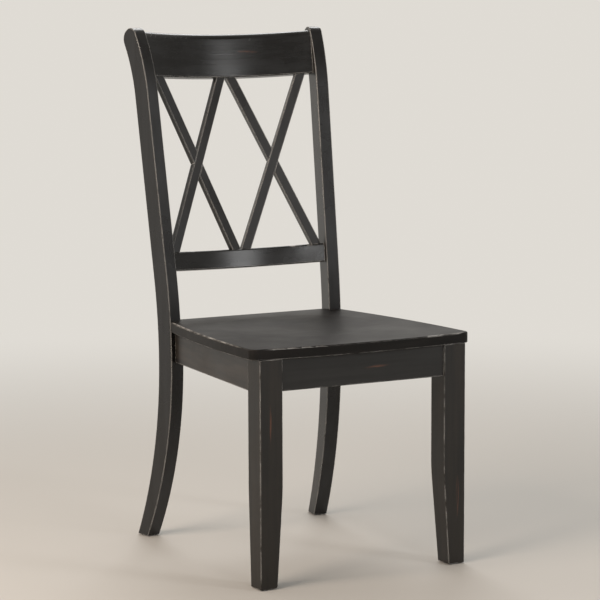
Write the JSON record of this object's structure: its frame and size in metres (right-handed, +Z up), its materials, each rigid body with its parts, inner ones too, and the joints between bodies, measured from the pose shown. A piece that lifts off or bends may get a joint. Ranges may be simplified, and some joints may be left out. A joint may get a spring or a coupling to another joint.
{
  "type": "cross back dining chair",
  "caption": "Armless wooden dining chair with a bowed crest rail, crossed slats between it and a lower back rail, a dished seat and sabre-curved rear posts.",
  "frame": {"origin": "on the floor under the middle of the chair's plan", "axes": "+Z up, the sitter faces -Y, +X to the right of someone who looks at the front of the chair"},
  "size_m": [0.481, 0.6135, 1.043],
  "materials": {
    "seat_paint": "satin near-black paint over wood, worn at the edges",
    "frame_paint": "satin near-black paint over wood, rubbed through at the edges",
    "block_wood": "bare sanded wood",
    "zinc_steel": "zinc plated",
    "glide_nylon": "matte"
  },
  "bodies": {
    "root": {"seat_panel": "seat_paint", "crest_rail": "frame_paint", "lower_back_rail": "frame_paint", "left_cross_front_slat": "frame_paint", "left_cross_rear_slat": "frame_paint", "right_cross_front_slat": "frame_paint", "right_cross_rear_slat": "frame_paint", "rear_post_left": "frame_paint", "rear_post_right": "frame_paint", "front_leg_left": "frame_paint", "front_leg_right": "frame_paint", "front_apron": "frame_paint", "side_rail_left": "frame_paint", "side_rail_right": "frame_paint", "rear_apron": "frame_paint", "corner_block_front_left": "block_wood", "corner_block_front_right": "block_wood", "corner_block_rear_left": "block_wood", "corner_block_rear_right": "block_wood", "leg_bolts": "zinc_steel", "bolt_washers": "zinc_steel", "bolt_nuts": "zinc_steel", "floor_glide_front_left": "glide_nylon", "floor_glide_front_right": "glide_nylon", "floor_glide_rear_left": "glide_nylon", "floor_glide_rear_right": "glide_nylon"}
  },
  "joints": []
}
